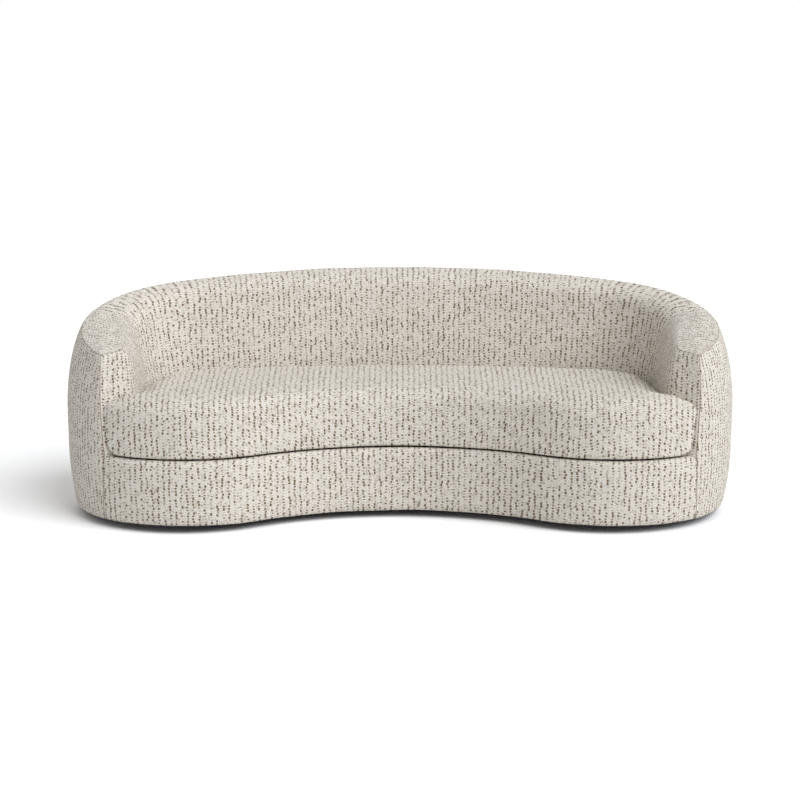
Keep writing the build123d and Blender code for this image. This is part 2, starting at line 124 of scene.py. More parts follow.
def outlineAt(height):
    s = sofaShape
    leanIn = leanForward = 0
    if height < s["widestHeight"]:
        tighter = behind = (s["widestHeight"] - height) ** 2 / (2 * s["tuckR"])
    else:
        lean = ((height - s["widestHeight"]) / (s["armHeight"] - s["widestHeight"])) ** s["leanPower"]
        leanIn = s["leanIn"] * lean
        leanForward = s["leanForward"] * lean
        tighter = s["leanTighter"] * lean
        behind = s["leanBehind"] * lean
    x = s["endX"] - leanIn
    y = s["endY"] - leanForward
    r = s["endR"] - tighter
    front = s["frontY"] + tighter
    back = s["backY"] - behind
    frontR = (x * x + (y - front) ** 2 - r * r) / (2 * (r - y + front))
    backR = (x * x + (back - y) ** 2 - r * r) / (2 * (back - y - r))
    return SimpleNamespace(
        end=Vector((x, y)),
        r=r,
        front=front,
        frontR=frontR,
        frontTurn=math.atan2(front - frontR - y, -x),
        frontHalf=math.atan2(x, y - front + frontR),
        backR=backR,
        backCentre=back - backR,
        backHalf=math.atan2(x, y - back + backR),
    )


widest = outlineAt(sofaShape["widestHeight"])
backRun = widest.backR * widest.backHalf


def worldHeight(height, y):
    return height + sofaShape["rimSlope"] * (y - sofaShape["ridgeY"])


def outsidePoint(run, height):
    # run is measured round the outside from the middle of the back
    o = outlineAt(height)
    side = -1 if run < 0 else 1
    run = abs(run)
    if run < backRun:
        normal = turned(math.pi / 2 - run / backRun * o.backHalf)
        point = normal * o.backR + Vector((0, o.backCentre))
    else:
        normal = turned(math.pi / 2 - o.backHalf - (run - backRun) / sofaShape["endR"])
        point = o.end + normal * o.r
    return Vector((side * point.x, point.y)), Vector((side * normal.x, normal.y))


def runAtAngle(o, angle):
    return backRun + (math.pi / 2 - o.backHalf - angle) * sofaShape["endR"]


# The seat hollow: a back arc, round corners, straight arms and flared arm fronts
def hollowAt(wider):
    s = seatShape
    arm = s["armFace"] + wider
    back = s["backFace"] + wider
    r = arm - s["cornerX"]
    behind = back - s["cornerY"]
    backR = (s["cornerX"] ** 2 + behind ** 2 - r * r) / (2 * (behind - r))
    toeIn = s["toeIn"] + s["toeLean"] * wider
    rounding = (s["flareR"] - wider - s["edgeR"]) * math.tan(s["flareTurn"] / 2)
    forward = rounding - toeIn / math.tan(s["flareTurn"])
    return SimpleNamespace(
        arm=arm,
        toeIn=toeIn,
        r=r,
        backR=backR,
        backCentre=back - backR,
        backHalf=math.atan2(s["cornerX"], s["cornerY"] - back + backR),
        edge=Vector((arm - toeIn + s["edgeR"], s["flareY"] - s["flareDrift"] * wider - forward)),
    )


def armAt(hollow, share):
    # the arm's inner face, from the rear corner to the upright edge at its front
    x = hollow.arm - hollow.toeIn * share * (2 - share)
    return Vector((x, mix(seatShape["cornerY"], hollow.edge.y, share)))


def flareEnd(hollow, height):
    # how far the flare turns, and then runs straight, before it meets the outside
    o = outlineAt(height)
    turn = seatShape["flareTurn"]
    edgeR = seatShape["edgeR"]
    along = turned(turn - math.pi / 2)
    start = hollow.edge - turned(turn) * edgeR - o.end
    across = start.dot(along)
    straight = math.sqrt(max(0, across ** 2 - start.length_squared + o.r ** 2)) - across
    if start.length < o.r:
        return turn, straight
    turn = solveShare(lambda t: (hollow.edge - turned(t) * edgeR - o.end).length - o.r, 0, turn)
    return turn, 0


plainHollow = hollowAt(0)
seatRuns = [
    plainHollow.backR * plainHollow.backHalf,
    plainHollow.r * (math.pi / 2 - plainHollow.backHalf),
    seatShape["cornerY"] - plainHollow.edge.y,
    seatShape["edgeR"] * seatShape["flareTurn"] + seatShape["frontWidth"],
]
cornerRun = sum(seatRuns[:2])
straightRun = sum(seatRuns[:3])
seatRun = sum(seatRuns)


def rollAt(run):
    # the roll is broad along the arms and tight at their fronts
    s = seatShape
    broad = eased((abs(run) - s["armRollFrom"]) / s["armRollOver"])
    tight = eased((abs(run) - straightRun + s["frontRollBefore"]) / s["frontRollOver"])
    size = mix(mix(s["roll"], s["armRoll"], broad), s["frontRoll"], tight)
    lean = math.atan(s["rake"])
    reach = size * math.tan((math.pi / 2 - lean) / 2)
    start = sofaShape["armHeight"] - reach * math.cos(lean)
    top = s["rake"] * (sofaShape["armHeight"] - s["rakeLevel"]) + reach
    return SimpleNamespace(size=size, lean=lean, start=start, top=top)


def insideOffset(height, roll):
    # how far the inside leans out at a height, roll included
    if height <= roll.start:
        return seatShape["rake"] * (height - seatShape["rakeLevel"])
    sine = min(1, (height - sofaShape["armHeight"]) / roll.size + 1)
    return roll.top - roll.size * math.sqrt(1 - sine * sine)


def insidePoint(run, wider, height):
    # run is measured along the seat hollow from the middle of the back
    hollow = hollowAt(wider)
    side = -1 if run < 0 else 1
    run = abs(run)
    if run < seatRuns[0]:
        angle = run / seatRuns[0] * hollow.backHalf
        normal = Vector((math.sin(angle), math.cos(angle)))
        point = normal * hollow.backR + Vector((0, hollow.backCentre))
    elif run < cornerRun:
        share = (run - seatRuns[0]) / seatRuns[1]
        normal = turned((math.pi / 2 - hollow.backHalf) * (1 - share))
        point = Vector((seatShape["cornerX"], seatShape["cornerY"])) + normal * hollow.r
    elif run < straightRun:
        point = armAt(hollow, (run - cornerRun) / seatRuns[2])
        normal = Vector((1, 0))
    else:
        edgeR = seatShape["edgeR"]
        turn, straight = flareEnd(hollow, height)
        length = edgeR * turn + straight
        reach = length * min(1, (run - straightRun) / seatRuns[3])
        bend = min(turn, reach / edgeR)
        normal = turned(bend)
        point = hollow.edge - normal * edgeR
        point += turned(bend - math.pi / 2) * (reach - bend * edgeR)
    return Vector((side * point.x, point.y)), Vector((side * normal.x, normal.y))


def ridgeAngle(o, height):
    x = sofaShape["ridgeX"] - sofaShape["ridgeLean"] * height
    return -math.acos((x - o.end.x) / o.r)


def ridgeRun(height):
    # where the outside cover starts, at the front of the arm
    o = outlineAt(height)
    if height < sofaShape["baseTop"]:
        return runAtAngle(o, ridgeAngle(o, height))
    point, _ = insidePoint(seatRun, insideOffset(height, rollAt(seatRun)), height)
    return runAtAngle(o, math.atan2(point.y - o.end.y, point.x - o.end.x))


def spaced(length, step, tight=()):
    # distances from 0 to length, closer together towards the far end
    start = length - max(tight, default=0)
    count = max(1, round(start / step))
    even = [start * n / count for n in range(count + 1)]
    return even + [length - t for t in sorted(tight, reverse=True)[1:]]


def unslopedHeight(z, y):
    return z - sofaShape["rimSlope"] * (y - sofaShape["ridgeY"])


def heightHere(worldZ, pointAt):
    # the unsloped height at which a point of the cover stands at worldZ
    height = worldZ
    for _ in range(6):  # each round comes closer
        height = unslopedHeight(worldZ, pointAt(height).y)
    return height


seamLook = {
    "tight": (0.03, 0.012, 0.0045, 0.0018, 0),  # rows beside a seam
    "sink": (0.01, 0.0026, 0.0006),  # how far the cloth is drawn down into the seam
    "dartSink": 0.0025,
    "shadedRows": 2,
    "calmRows": 5,  # rows over which unevenness grows from nothing
}


def gridPiece(columns, rows, place, dart=lambda column, row: 0):
    # a grid laid on a surface; place gives each point and its cloth coordinates, and each point gets a
    # weight of painted seam shade
    bm = bmesh.new()
    layer = bm.loops.layers.uv.new("weave")
    seam = bm.verts.layers.float.new("seam")
    bmesh.ops.create_grid(bm, x_segments=len(columns) - 1, y_segments=len(rows) - 1, size=1)
    weave = {}
    fromSeam = {}
    for v in bm.verts:
        column = round((v.co.x + 1) / 2 * (len(columns) - 1))
        row = round((v.co.y + 1) / 2 * (len(rows) - 1))
        v.co, weave[v] = place(columns[column], rows[row])
        fromSeam[v] = min(column, len(columns) - 1 - column, len(rows) - 1 - row)
        # painted shade: full on the rows next to a seam, and along the dart line
        v[seam] = 1 if fromSeam[v] < seamLook["shadedRows"] else dart(columns[column], rows[row])
    for face in bm.faces:
        for loop in face.loops:
            loop[layer].uv = weave[loop.vert]
    return bm, fromSeam


def sewIn(bm, fromSeam, size, depth):
    # hand-made unevenness of stuffed cloth, with the edges drawn down into the seams
    bm.normal_update()
    seam = bm.verts.layers.float["seam"]
    moves = {}
    for v, count in fromSeam.items():
        moves[v] = depth * noise.noise(v.co / size) * min(1, count / seamLook["calmRows"])
        if count < len(seamLook["sink"]):
            moves[v] -= seamLook["sink"][count]
        else:
            moves[v] -= seamLook["dartSink"] * v[seam]
    for v, move in moves.items():
        v.co += v.normal * move


def linkNew(name, data):
    piece = bpy.data.objects.new(name, data)
    bpy.context.scene.collection.objects.link(piece)
    return piece


def meshFrom(bm, name):
    mesh = bpy.data.meshes.new(name)
    bm.to_mesh(mesh)
    bm.free()
    return mesh


def makeObject(bm, name, material, body):
    for face in bm.faces:
        face.smooth = True
    piece = linkNew(name, meshFrom(bm, name))
    piece.data.materials.append(material)
    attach(piece, body)
    return piece


def refine(piece):
    fine = piece.modifiers.new("fine", "SUBSURF")
    fine.levels = fine.render_levels = 1


def thicken(piece, thickness):
    # finer mesh first, then a padded back to the cloth
    refine(piece)
    back = piece.modifiers.new("padding", "SOLIDIFY")
    back.thickness = thickness
    back.offset = -1


def plug(tree, socket, value):
    if isinstance(value, Wire):
        tree.links.new(value.socket, socket)
    else:
        socket.default_value = value


def addNode(tree, kind, settings=None, inputs=None, output=0):
    made = tree.nodes.new(kind)
    for key, value in (settings or {}).items():
        setattr(made, key, value)
    for key, value in (inputs or {}).items():
        plug(tree, made.inputs[key], value)
    return Wire(tree, made.outputs[output])


class Wire:
    def __init__(self, tree, socket):
        self.tree = tree
        self.socket = socket

    def maths(self, operation, *values):
        return addNode(self.tree, "ShaderNodeMath", {"operation": operation}, dict(enumerate(values)))

    def __add__(self, other):
        return self.maths("ADD", self, other)

    def __radd__(self, other):
        return self.maths("ADD", other, self)

    def __sub__(self, other):
        return self.maths("SUBTRACT", self, other)

    def __rsub__(self, other):
        return self.maths("SUBTRACT", other, self)

    def __mul__(self, other):
        return self.maths("MULTIPLY", self, other)

    def __rmul__(self, other):
        return self.maths("MULTIPLY", other, self)

    def __truediv__(self, other):
        return self.maths("DIVIDE", self, other)

    def __abs__(self):
        return self.maths("ABSOLUTE", self)

    def floor(self):
        return self.maths("FLOOR", self)

    def sine(self):
        return self.maths("SINE", self)

    def part(self, number):
        # one channel of a colour, or one axis of a vector
        return addNode(self.tree, "ShaderNodeSeparateXYZ", {}, {0: self}, number)

    def rise(self, low, high):
        # 0 at low, 1 at high, smooth between
        smooth = {"interpolation_type": "SMOOTHSTEP"}
        return addNode(
            self.tree, "ShaderNodeMapRange", smooth, {"Value": self, "From Min": low, "From Max": high}
        )


class Finish:
    def __init__(self, name, roughness):
        self.material = bpy.data.materials.new(name)
        self.material.use_nodes = True
        self.tree = self.material.node_tree
        self.shader = self.tree.nodes["Principled BSDF"]
        self.set("Roughness", roughness)

    def set(self, socket, value):
        plug(self.tree, self.shader.inputs[socket], value)

    def node(self, kind, settings=None, inputs=None, output=0):
        return addNode(self.tree, kind, settings, inputs, output)

    def grain(self, vector, scale, detail=2.0, rough=0.5):
        return self.node(
            "ShaderNodeTexNoise",
            {},
            {"Vector": vector, "Scale": scale, "Detail": detail, "Roughness": rough},
        )

    def chance(self, x, y, z):
        # three random numbers for a spot
        spot = self.node("ShaderNodeCombineXYZ", {}, {0: x, 1: y, 2: z})
        return self.node(
            "ShaderNodeTexWhiteNoise", {"noise_dimensions": "3D"}, {"Vector": spot}, "Color"
        )

    def blend(self, share, low, high):
        return self.node("ShaderNodeMix", {"data_type": "RGBA"}, {0: share, 6: low, 7: high}, 2)

    def place(self):
        return self.node("ShaderNodeTexCoord", output="Object")

    def stretched(self, vector, scale):
        return self.node("ShaderNodeVectorMath", {"operation": "MULTIPLY"}, {0: vector, 1: scale})

    def bump(self, height, distance):
        self.set("Normal", self.node("ShaderNodeBump", {}, {"Height": height, "Distance": distance}))


def colour(red, green, blue):
    # screen values 0 to 255 to light values
    def light(value):
        value /= 255
        return value / 12.92 if value <= 0.04045 else ((value + 0.055) / 1.055) ** 2.4

    return (light(red), light(green), light(blue), 1)


# Oatmeal cloth with brown flecks in upright columns and painted shade along its seams and darts; a
# grain is its scale, detail and roughness
clothLook = {
    "pale": colour(242, 237, 229),
    "shade": colour(206, 197, 184),
    "fleck": colour(110, 89, 63),
    "pitch": 0.0186,  # from column to column
    "pick": 0.0099,  # from fleck to fleck in a column
    "stagger": 5,  # the most picks by which a column is shifted
    "halfWidth": 0.17,  # of a fleck, as a share of the pitch
    "softSides": (0.5, 1.5),  # shares of the half width over which a fleck fades
    "halfLength": 0.32,  # the most that chance adds, as a share of the pick
    "softEnds": (0.08, 0.22),
    "scatter": 0.26,
    "wander": 0.5,  # of the columns, as a share of the pitch
    "wanderGrain": (16, 1.0),
    "fray": (0.3, 0.4),  # of a fleck's sides and ends
    "frayGrain": (520, 4.0, 0.65),
    "brownDepths": (-0.16, 0.6),  # chances from the faintest to the darkest fleck
    "faintDepths": (0.2, 1.0),
    "faintShare": 0.42,
    "nubGrain": (340, 3.0, 0.6),
    "nubShades": (0.34, 0.64),
    "lumpGrain": (150, 1.0),
    "lump": 0.8,
    "fleckSink": 0.3,
    "bump": 0.0022,
    # painted shade along seams and darts, as a share of the fleck colour
    "seamShadow": 0.7,
    "roughness": 0.95,
    "sheen": 0.12,
    "sheenRoughness": 0.6,
    "specular": 0.2,
}


def oatmealCloth(name):
    look = clothLook
    finish = Finish(name, look["roughness"])
    uv = finish.node("ShaderNodeUVMap", {"uv_map": "weave"})
    across = uv.part(0)
    along = uv.part(1)
    rag = finish.grain(uv, *look["frayGrain"]) - 0.5
    wander = (finish.grain(uv, *look["wanderGrain"]) - 0.5) * look["wander"]
    sides = [look["halfWidth"] * share for share in look["softSides"]]

    def flecks(seed, depths):
        # one fleck in each cell of the weave, with its own place, length and depth of colour
        lanes = across / look["pitch"] + wander + seed / 2
        lane = lanes.floor()
        cells = along / look["pick"] + finish.chance(lane, 0.0, seed).part(0) * look["stagger"]
        cell = cells.floor()
        chance = finish.chance(lane, cell, seed + 1)
        aside = (chance.part(0) - 0.5) * look["scatter"]
        sideways = abs(lanes - lane - 0.5 + aside) + rag * look["fray"][0]
        longer = chance.part(1) * look["halfLength"]
        lengthways = abs(cells - cell - 0.5) - longer + rag * look["fray"][1]
        mark = (1 - sideways.rise(*sides)) * (1 - lengthways.rise(*look["softEnds"]))
        return mark * chance.part(2).rise(*depths)

    brown = flecks(0, look["brownDepths"])
    faint = flecks(1, look["faintDepths"])
    nub = finish.grain(uv, *look["nubGrain"])
    ground = finish.blend(nub.rise(*look["nubShades"]), look["shade"], look["pale"])
    # painted shade: the seam attribute darkens the cloth along its seams and along each dart
    seam = finish.node("ShaderNodeAttribute", {"attribute_name": "seam"}, output="Fac")
    flecksAndSeamShade = 1 - (1 - brown) * (1 - faint * look["faintShare"]) * (1 - seam * look["seamShadow"])
    finish.set("Base Color", finish.blend(flecksAndSeamShade, ground, look["fleck"]))
    lump = finish.grain(uv, *look["lumpGrain"]) * look["lump"]
    finish.bump(nub + lump - brown * look["fleckSink"], look["bump"])
    finish.set("Sheen Weight", look["sheen"])
    finish.set("Sheen Roughness", look["sheenRoughness"])
    finish.set("Specular IOR Level", look["specular"])
    return finish.material


cloth = oatmealCloth("oatmealCloth")
print("cloth ready")

# The outside of the wall, from the hem under the sofa up to the rim seam
outsideLook = {
    "step": 0.022,
    "padding": 0.006,
    "hem": 0.014,
    "hemRound": 0.004,
    "hemHeight": -0.05,  # a first guess
    "tallerBehind": 0.12,  # the back stands higher than the arms
    "unevenness": (0.16, 0.0022),
}


def makeOutside():
    look = outsideLook
    top = sofaShape["armHeight"]
    wall = top + look["tallerBehind"]
    rows = [-1, 0] + [d / wall for d in spaced(wall, look["step"], seamLook["tight"])[1:]]
    halfRound = ridgeRun(sofaShape["widestHeight"])
    half = spaced(1, look["step"] / halfRound, [t / halfRound for t in seamLook["tight"]])
    columns = half[:0:-1] + [-s for s in half]  # right to left, so that faces look outward

    def place(side, level):
        share = max(0, level)
        height = mix(look["hemHeight"], top, share)
        for _ in range(3):  # each round comes closer to the hem
            run = side * ridgeRun(height)
            bottom = heightHere(sofaShape["floorGap"], lambda h: outsidePoint(run, h)[0])
            height = mix(bottom, top, share)
        run = side * ridgeRun(height)
        point, normal = outsidePoint(run, height)
        z = worldHeight(height, point.y)
        if level <= 0:
            point -= normal * look["hem" if level < 0 else "hemRound"]
        return Vector((point.x, point.y, z)), (run, z)

    bm, fromSeam = gridPiece(columns, rows, place)
    sewIn(bm, fromSeam, *look["unevenness"])
    piece = makeObject(bm, "outsideWall", cloth, "sofa")
    thicken(piece, look["padding"])
    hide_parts("outside_cover", "outside_wadding")
    print("outside wall", len(piece.data.polygons), "faces")


makeOutside()

# The inside of the wall: up from the seat, over the soft roll and across the rim
insideLook = {
    "step": 0.022,
    "padding": 0.006,
    "low": 0.222,
    "face": 0.4,
    "rollRows": 10,
    "rim": 0.17,
    "rimCrown": 0.008,
    "crownWidth": 0.1,  # a narrower rim is crowned less
    "corner": 0.014,  # the rim's front corner is cut off square
    "seamFrom": -0.05,  # the rim seam is looked for from just past the middle of the back
    "dartRow": 8,  # row of the roll along which a dart crosses the top of each arm front, drawn as painted shade and a slight sink
    "dartReach": 0.04,
    "unevenness": (0.14, 0.0025),
}


def rimOuter(run):
    # the point of the rim seam across the rim from a point of the roll
    top = sofaShape["armHeight"]
    ridge = ridgeRun(top)

    def across(r):
        point, normal = insidePoint(r, rollAt(r).top, top)
        return solveShare(
            lambda q: normal.cross(outsidePoint(q, top)[0] - point), insideLook["seamFrom"], ridge
        )

    if run <= straightRun:
        return across(run)
    return mix(across(straightRun), ridge - insideLook["corner"], (run - straightRun) / seatRuns[3])


def makeInside():
    look = insideLook
    top = sofaShape["armHeight"]
    rows = [d / look["face"] for d in spaced(look["face"], look["step"])]
    rows += [1 + (n + 1) / look["rollRows"] for n in range(look["rollRows"])]
    rows += [2 + d / look["rim"] for d in spaced(look["rim"], look["step"], seamLook["tight"])[1:]]
    half = spaced(seatRun, look["step"], seamLook["tight"])
    columns = [-s for s in reversed(half[1:])] + half
    outer = {run: rimOuter(run) for run in half}

    def place(run, level):
        # level 0 to 1 is the face, 1 to 2 the roll, 2 to 3 the rim
        roll = rollAt(run)
        arc = roll.size * (math.pi / 2 - roll.lean)
        if level <= 1:
            low = heightHere(look["low"], lambda h: insidePoint(run, insideOffset(h, roll), h)[0])
            height = mix(low, roll.start, level)
            point, _ = insidePoint(run, insideOffset(height, roll), height)
            z = worldHeight(height, point.y)
            return Vector((point.x, point.y, z)), (run, z)
        if level <= 2:
            angle = mix(math.pi - roll.lean, math.pi / 2, level - 1)
            height = top - roll.size + roll.size * math.sin(angle)
            point, _ = insidePoint(run, roll.top + roll.size * math.cos(angle), height)
            z = worldHeight(height, point.y)
            weave = (run, worldHeight(roll.start, point.y) + (level - 1) * arc)
            return Vector((point.x, point.y, z)), weave
        share = level - 2
        point, _ = insidePoint(run, roll.top, top)
        edge, _ = outsidePoint(math.copysign(outer[abs(run)], run), top)
        width = (edge - point).length
        here = point.lerp(edge, share)
        wave = (1 - math.cos(2 * math.pi * share)) / 2
        z = worldHeight(top, here.y) + look["rimCrown"] * min(1, width / look["crownWidth"]) * wave
        weave = (run, worldHeight(roll.start, point.y) + arc + width * share)
        return Vector((here.x, here.y, z)), weave

    def dart(run, level):
        # the dart is painted shade across the roll, with a slight sink into it
        sewn = math.isclose(level, 1 + look["dartRow"] / look["rollRows"])
        return sewn * eased((abs(run) - straightRun) / look["dartReach"])

    bm, fromSeam = gridPiece(columns, rows, place, dart)
    sewIn(bm, fromSeam, *look["unevenness"])
    piece = makeObject(bm, "insideWall", cloth, "sofa")
    thicken(piece, look["padding"])
    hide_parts("inside_cover", "left_arm_foam", "back_foam", "right_arm_foam")
    print("inside wall", len(piece.data.polygons), "faces")


makeInside()

# The front of the base, with a rolled top edge that runs in under the cushion
baseLook = {
    "step": 0.022,
    "padding": 0.006,
    "halfFront": 1.1,  # length along half the front
    "hem": 0.014,
    "hemRound": 0.004,
    "roll": 0.018,
    "rollRows": 5,
    "lip": (0.012, 0.024, 0.036),  # rows that run back from the roll
    "under": 0.003,  # its ends run in under the outside cover
    "unevenness": (0.15, 0.0018),
}


def frontPoint(side, height, inset):
    # side goes from -1 at the left arm's seam to 1 at the right arm's
    o = outlineAt(height)
    hollowRun = widest.frontR * widest.frontHalf
    endRun = (ridgeAngle(o, height) - o.frontTurn) * sofaShape["endR"] + baseLook["under"]
    run = abs(side) * (hollowRun + endRun)
    side = -1 if side < 0 else 1
    if run < hollowRun:
        angle = run / hollowRun * o.frontHalf
        normal = Vector((-math.sin(angle), -math.cos(angle)))
        point = Vector((0, o.front - o.frontR)) - normal * o.frontR
    else:
        angle = o.frontTurn + (run - hollowRun) / sofaShape["endR"]
        normal = turned(angle)
        point = o.end + normal * o.r
    point -= normal * inset
    return Vector((side * point.x, point.y))


def makeBase():
    look = baseLook
    length = look["halfFront"]
    half = spaced(1, look["step"] / length, [t / length for t in seamLook["tight"]])
    columns = [-s for s in reversed(half[1:])] + half
    roll = look["roll"]
    wallTop = sofaShape["baseTop"] - roll
    bottom = sofaShape["floorGap"]
    profile = [(look["hem"], bottom), (look["hemRound"], bottom)]
    profile += [(0, bottom + d) for d in spaced(wallTop - bottom, look["step"])[1:]]
    for n in range(1, look["rollRows"] + 1):
        angle = math.pi / 2 * n / look["rollRows"]
        profile.append((roll * (1 - math.cos(angle)), wallTop + roll * math.sin(angle)))
    profile += [(roll + d, sofaShape["baseTop"]) for d in look["lip"]]

    def place(side, level):
        inset, z = level
        point = frontPoint(side, z, inset)
        weave = (point.x, z + (inset if z > wallTop else 0))
        return Vector((point.x, point.y, z)), weave

    bm, fromSeam = gridPiece(columns, profile, place)
    sewIn(bm, fromSeam, *look["unevenness"])
    piece = makeObject(bm, "baseFront", cloth, "sofa")
    thicken(piece, look["padding"])
    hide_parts("front_cover", "front_foam")
    print("base front", len(piece.data.polygons), "faces")


makeBase()

# The loose bench cushion: the filling's form, remeshed and swollen by cloth simulation
cushionLook = {
    "bottom": 0.2405,
    "cover": 0.001,
    "voxel": 0.012,
    "pressure": 4.0,
    "frames": 20,
    "quality": 4,
    "facesFront": 0.6,  # how far forward a point of the free front has to face
    "sink": 0.003,  # the furthest that a point may sink, and swell
    "swell": 0.004,
    "sideSwell": 0.002,  # beside the arms and the back
    "lowEdge": 0.024,
    "crispEdge": 0.016,
    "crispFrom": 0.2,  # a point that faces more nearly straight up or down stays
    "zipRear": 0.04,  # the rear stays as it is from here back
    "armGap": 0.002,
    "endDraw": 0.027,  # how far its front ends draw in at the bottom
    "endTall": 0.095,  # over what height
    "endReach": math.radians(24),  # and along how much of the front curve
    "endTurn": math.radians(50),
    "weaveTop": 0.43,
    "splay": 0.12,  # flecks stand wider apart towards the rear
}
facesUp = 0.5  # a face whose normal rises at least this much is part of a top
weldGap = 0.00002


def fillingCopy(node):
    # the outer skin of a CAD filling, without the hollow inside it
    bm = bmesh.new()
    bm.from_mesh(bpy.data.objects[node].data)
    bmesh.ops.remove_doubles(bm, verts=bm.verts, dist=weldGap)
    bm.verts.ensure_lookup_table()
    skin = max(bm.verts, key=lambda v: v.co.x)
    outer = {skin}
    edge = [skin]
    while edge:
        v = edge.pop()
        for e in v.link_edges:
            other = e.other_vert(v)
            if other not in outer:
                outer.add(other)
                edge.append(other)
    bmesh.ops.delete(bm, geom=[v for v in bm.verts if v not in outer], context="VERTS")
    return bm


def evenSkin(piece, voxel):
    remesh = piece.modifiers.new("even", "REMESH")
    remesh.mode = "VOXEL"
    remesh.voxel_size = voxel
    bpy.context.view_layer.objects.active = piece
    bpy.ops.object.modifier_apply(modifier="even")
    for polygon in piece.data.polygons:
        polygon.use_smooth = True


def withNormals(piece):
    # each point with its normal as it is before any point moves
    normals = [v.normal.copy() for v in piece.data.vertices]
    return zip(piece.data.vertices, normals)


def grow(piece, reach):
    for v, normal in withNormals(piece):
        v.co += normal * reach(v.co, normal)


def swell(piece, look):
    # pressure fills the cover while its underside lies on the deck
    lying = [v.index for v in piece.data.vertices if v.co.z < look["bottom"] + look["voxel"]]
    rest = piece.vertex_groups.new(name="rest")
    rest.add(lying, 1, "REPLACE")
    puff = piece.modifiers.new("puff", "CLOTH")
    puff.settings.vertex_group_mass = "rest"
    puff.settings.use_pressure = True
    puff.settings.uniform_pressure_force = look["pressure"]
    puff.settings.effector_weights.gravity = 0
    puff.settings.quality = look["quality"]
    puff.point_cache.frame_end = look["frames"]
    scene = bpy.context.scene
    for n in range(1, look["frames"] + 1):
        scene.frame_set(n)
    shaped = piece.evaluated_get(bpy.context.evaluated_depsgraph_get())
    swollen = [v.co.copy() for v in shaped.data.vertices]
    piece.modifiers.remove(puff)
    piece.vertex_groups.remove(rest)
    scene.frame_set(1)
    for (v, normal), end in zip(withNormals(piece), swollen):
        front = normal.y < -look["facesFront"] and v.co.y < seatShape["flareY"]
        most = look["swell"] if normal.z > facesUp or front else look["sideSwell"]
        v.co += normal * max(-look["sink"], min(most, (end - v.co).dot(normal)))


def bottomRound(r, rise):
    # how far a rounded lower edge stands in at a height above the bottom
    return r - math.sqrt(r ** 2 - max(0, r - rise) ** 2)


def crispLowEdge(piece, look):
    # the cover is pulled square along the lower front edge
    for v, normal in withNormals(piece):
        rise = v.co.z - look["bottom"]
        flat = normal.xy
        if v.co.y > seatShape["flareY"] or rise > look["lowEdge"] or flat.length < look["crispFrom"]:
            continue
        out = bottomRound(look["lowEdge"], rise) - bottomRound(look["crispEdge"], rise)
        move = flat.normalized() * out
        v.co += Vector((move.x, move.y, 0))


def clearOfArms(piece, gap):
    # the ends of the cushion give way to the arms
    for v in piece.data.vertices:
        height = unslopedHeight(v.co.z, v.co.y)
        hollow = hollowAt(insideOffset(height, rollAt(seatRun)) - gap)
        away = hollow.edge - Vector((abs(v.co.x), v.co.y))
        out = turned(min(max(0, math.atan2(away.y, away.x)), seatShape["flareTurn"]))
        short = max(0, seatShape["edgeR"] - away.dot(out))
        if away.y < 0:
            share = max(0, (seatShape["cornerY"] - v.co.y) / seatRuns[2])
            short = max(0, abs(v.co.x) - armAt(hollow, share).x)
        v.co.x -= math.copysign(out.x * short, v.co.x)
        v.co.y -= out.y * short


def roundEnds(piece, look):
    # each front end turns in round the end of the sofa, most at the bottom
    centre = widest.end
    for v in piece.data.vertices:
        away = Vector((abs(v.co.x), v.co.y)) - centre
        rise = min(1, (v.co.z - look["bottom"]) / look["endTall"])
        if away.x < 0 or away.y > 0 or rise == 1:
            continue
        share = eased(1 + (math.atan2(away.y, away.x) + look["endTurn"]) / look["endReach"])
        draw = look["endDraw"] * bottomRound(1, rise) * share
        away.rotate(Matrix.Rotation(-draw / widest.r, 2))
        v.co.x = math.copysign(centre.x + away.x, v.co.x)
        v.co.y = centre.y + away.y


def layWeave(piece, zTop, splay):
    # flecks run front to back on top, and carry on down the front and the back
    layer = piece.data.uv_layers.new(name="weave")
    for loop in piece.data.loops:
        p = piece.data.vertices[loop.vertex_index].co
        down = zTop - p.z
        wider = 1 + splay * (p.y - sofaShape["frontY"])
        layer.data[loop.index].uv = (p.x / wider, p.y - down if p.y < 0 else p.y + down)


def makeCushion():
    look = cushionLook
    piece = makeObject(fillingCopy("cushion_wrap"), "benchCushion", cloth, "cushion")
    evenSkin(piece, look["voxel"])
    grow(piece, lambda co, n: look["cover"] if co.y < look["zipRear"] or n.z > facesUp else 0)
    swell(piece, look)
    for v in piece.data.vertices:
        v.co.z = max(v.co.z, look["bottom"])
    crispLowEdge(piece, look)
    clearOfArms(piece, look["armGap"])
    roundEnds(piece, look)
    layWeave(piece, look["weaveTop"], look["splay"])
    refine(piece)
    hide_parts("cushion_top_cover", "cushion_base_cover", "cushion_wrap", "cushion_core")
    print("cushion", len(piece.data.polygons), "faces")


makeCushion()

# Thin lining: pressed fibres with small welded dots
liningLook = {
    "dark": colour(34, 33, 33),
    "pale": colour(62, 60, 58),
    "roughness": 0.9,
    "stretch": (900, 240, 900),
    "fibreGrain": (1.0, 3.0, 0.6),
    "shades": (0.35, 0.7),
    "dots": 420,
    "dotEdge": (0.2, 0.45),
    "fibreBump": 0.5,
    "bump": 0.0004,
}


def liningFinish():
    look = liningLook
    finish = Finish("lining", look["roughness"])
    place = finish.place()
    fibre = finish.grain(finish.stretched(place, look["stretch"]), *look["fibreGrain"])
    dots = finish.node("ShaderNodeTexVoronoi", {}, {"Vector": place, "Scale": look["dots"]})
    dot = dots.rise(*look["dotEdge"])
    share = fibre.rise(*look["shades"]) * dot
    finish.set("Base Color", finish.blend(share, look["dark"], look["pale"]))
    finish.bump(fibre * look["fibreBump"] + dot, look["bump"])
    return finish.material


lining = liningFinish()

# The platform under the cushion: a pad with lining drawn over it
deckLook = {"voxel": 0.009, "cloth": 0.0012, "slack": 0.0016, "slackSize": 0.13}


